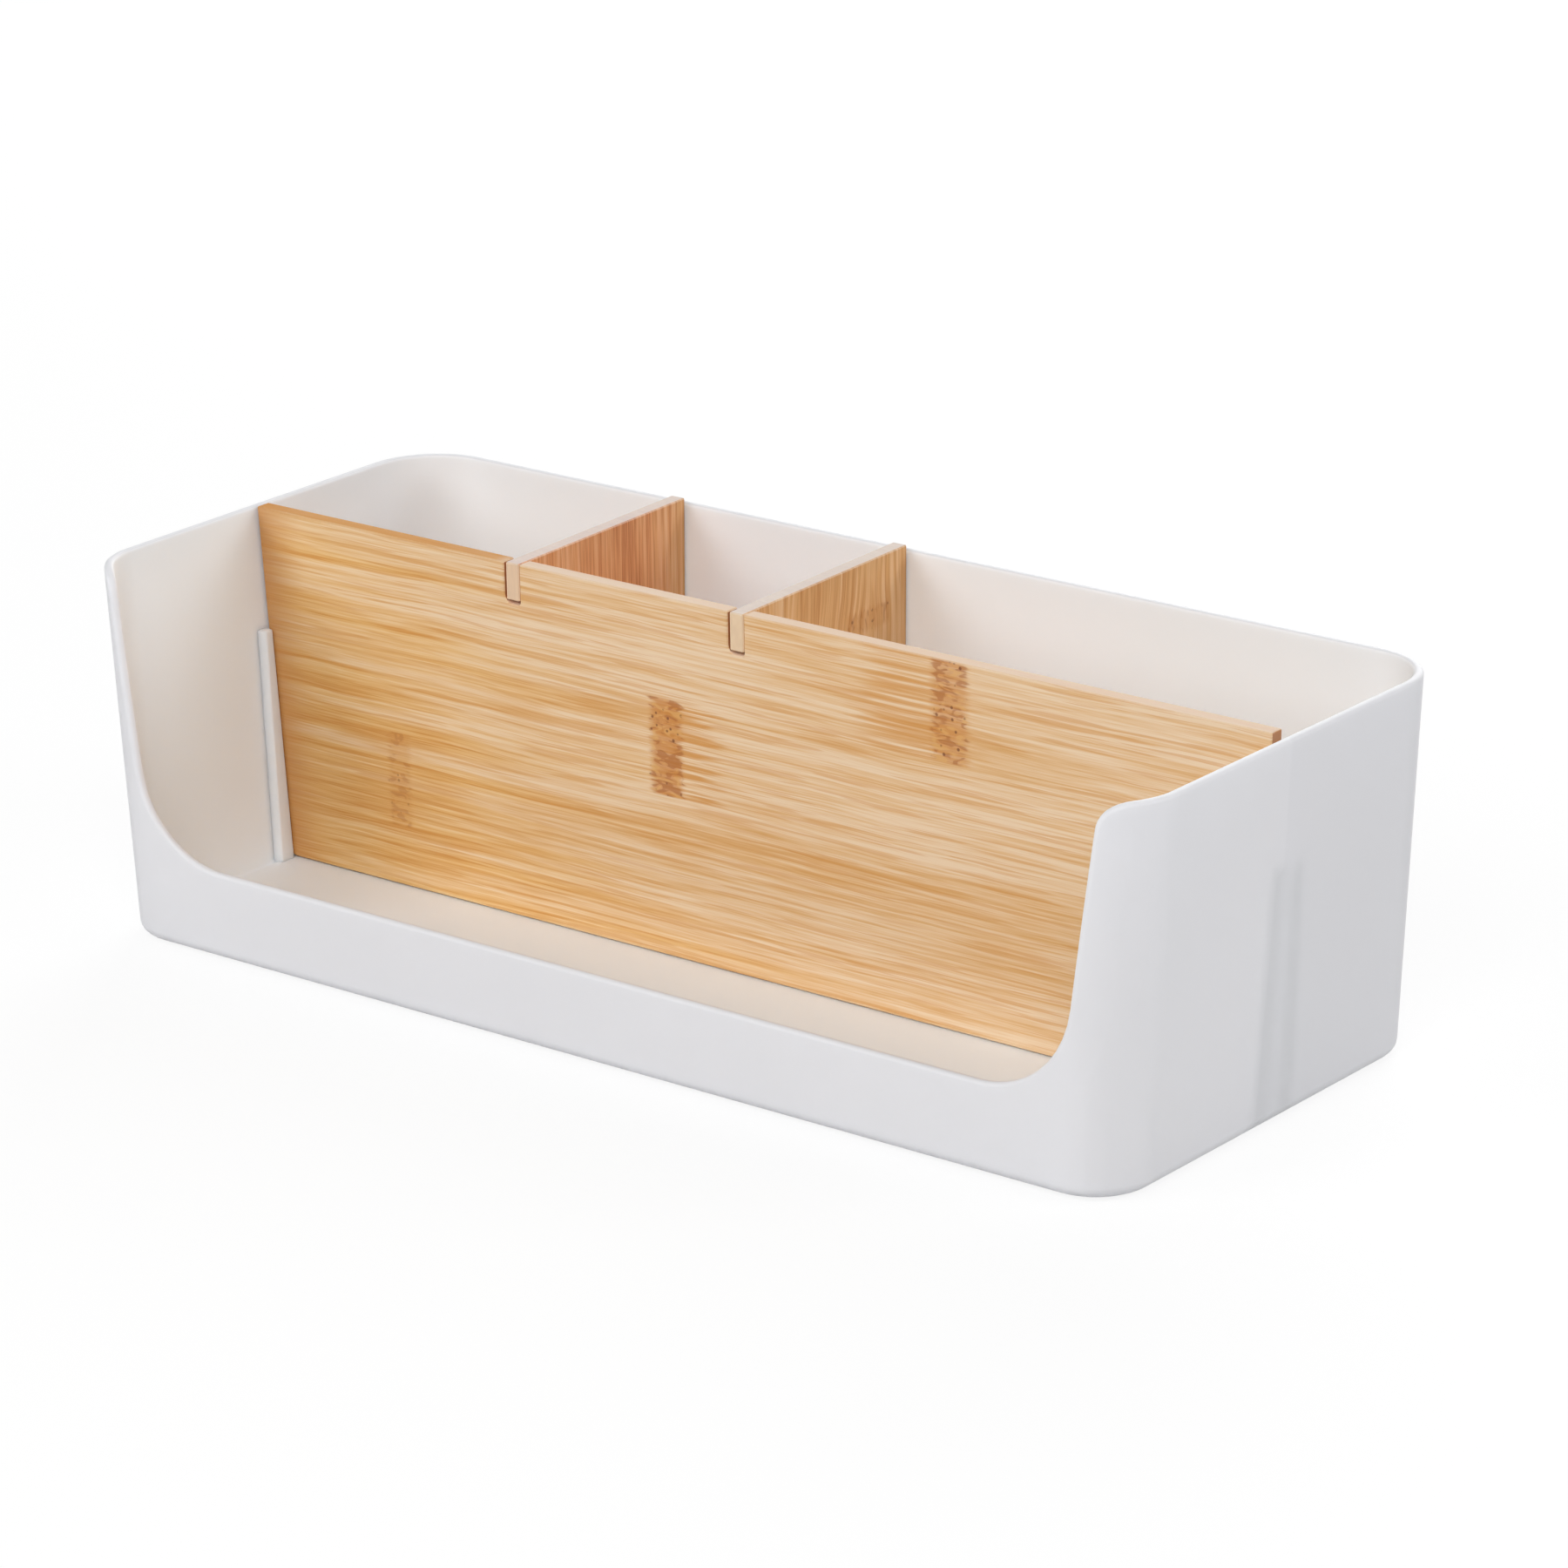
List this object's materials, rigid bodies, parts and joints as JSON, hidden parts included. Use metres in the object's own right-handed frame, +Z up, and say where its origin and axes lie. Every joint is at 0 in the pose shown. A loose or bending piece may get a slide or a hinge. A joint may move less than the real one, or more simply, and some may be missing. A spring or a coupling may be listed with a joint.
{
  "type": "compartment storage box",
  "caption": "Open-front desktop storage tray in white moulded plastic with rounded corners, a long bamboo divider and slotted cross dividers that lift out.",
  "frame": {"origin": "on the surface that the pads stand on, below the middle of the tray's rim outline; because the front wall is cut away, the middle of the overall box lies 0.75 mm behind it", "axes": "+X along the tray's long side to the right of someone facing its open front, +Y from the open front to the back wall, +Z up"},
  "size_m": [0.3, 0.1225, 0.0919],
  "materials": {
    "white_plastic": "satin moulded plastic",
    "bamboo": "sanded bamboo, grain along the board",
    "dark_bamboo": "sanded bamboo, upright grain",
    "pad_rubber": "matte"
  },
  "bodies": {
    "tray": {"tray": "white_plastic", "front_left_pad": "pad_rubber", "front_right_pad": "pad_rubber", "rear_left_pad": "pad_rubber", "rear_right_pad": "pad_rubber"},
    "long_divider": {"long_divider": "bamboo"},
    "left_cross_divider": {"left_cross_divider": "dark_bamboo"},
    "right_cross_divider": {"right_cross_divider": "dark_bamboo"}
  },
  "joints": [
    {"name": "long_divider_lift", "type": "slide", "parent": "tray", "child": "long_divider", "axis": [0, 0, 1], "range_m": [0, 0.095]},
    {"name": "left_cross_divider_lift", "type": "slide", "parent": "long_divider", "child": "left_cross_divider", "axis": [0, 0, 1], "range_m": [0, 0.095]},
    {"name": "right_cross_divider_lift", "type": "slide", "parent": "long_divider", "child": "right_cross_divider", "axis": [0, 0, 1], "range_m": [0, 0.095]}
  ]
}
